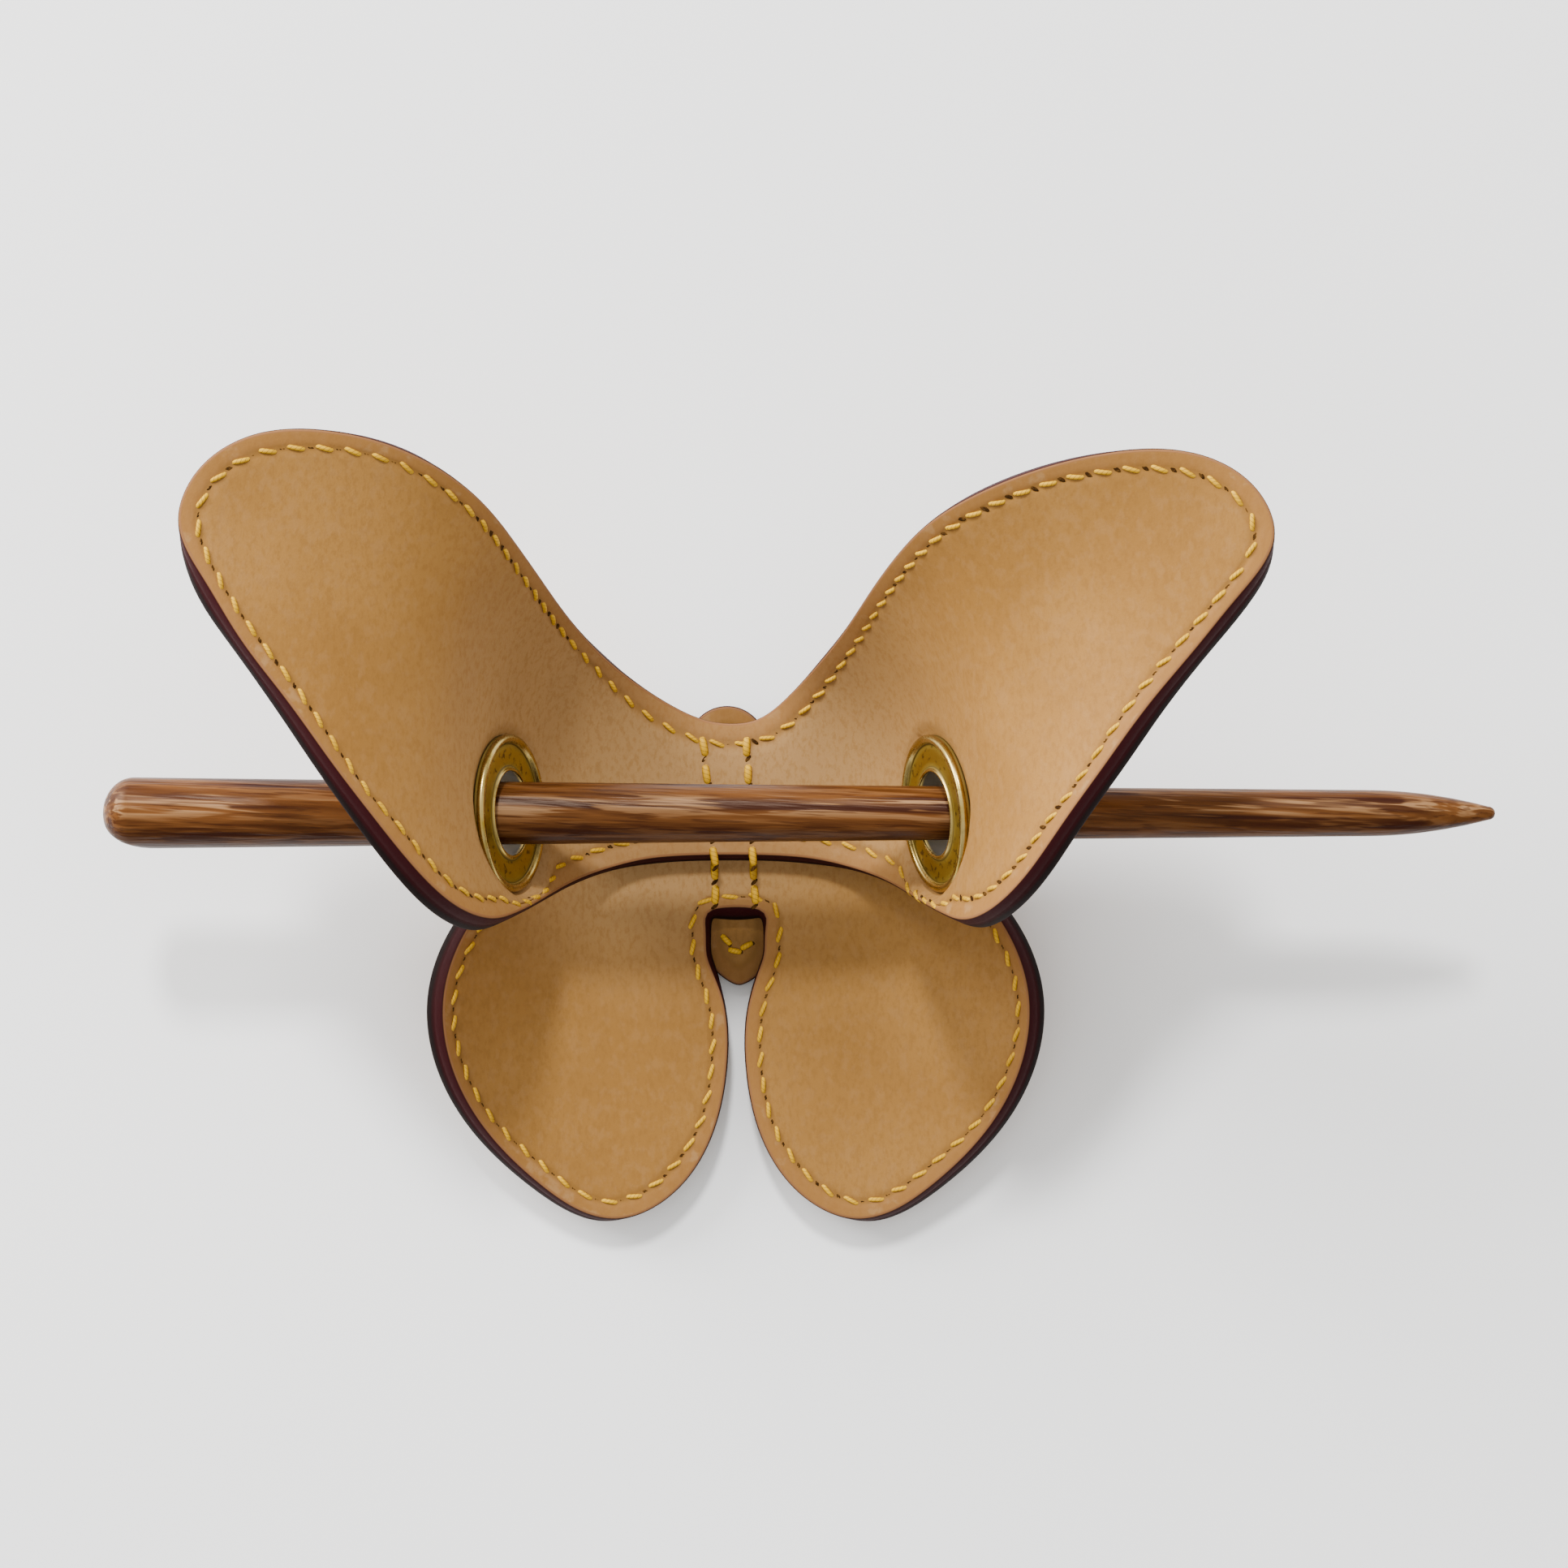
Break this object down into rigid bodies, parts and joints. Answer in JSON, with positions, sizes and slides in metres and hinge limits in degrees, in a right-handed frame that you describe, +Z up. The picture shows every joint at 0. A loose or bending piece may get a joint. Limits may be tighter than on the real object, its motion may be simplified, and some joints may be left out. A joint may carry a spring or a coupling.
{
  "type": "hair barrette",
  "caption": "Butterfly hair barrette of stitched leather, bent into a deep U, closed by a pointed wooden stick that runs through brass eyelets in its upper wings.",
  "frame": {"origin": "on the table, under the body strap, straight below the stick's axis and midway between the eyelets", "axes": "+X along the stick to its point, +Y towards the upper wings' tops, +Z up, out of the hair side"},
  "size_m": [0.165, 0.0936, 0.053],
  "materials": {
    "leather": "smooth natural tan leather with a light grain",
    "brass": "aged brass, polished and a little tarnished",
    "wood": "dark reddish brown wood with open grain, oiled"
  },
  "bodies": {
    "leather_body": {"upper_wings": "leather", "lower_wings": "leather", "body_strap": "leather", "eyelet_left": "brass", "eyelet_right": "brass"},
    "stick_body": {"stick": "wood"}
  },
  "joints": [
    {"name": "stick_slide", "type": "slide", "parent": "leather_body", "child": "stick_body", "axis": [1, 0, 0], "range_m": [-0.118, 0.036]}
  ]
}
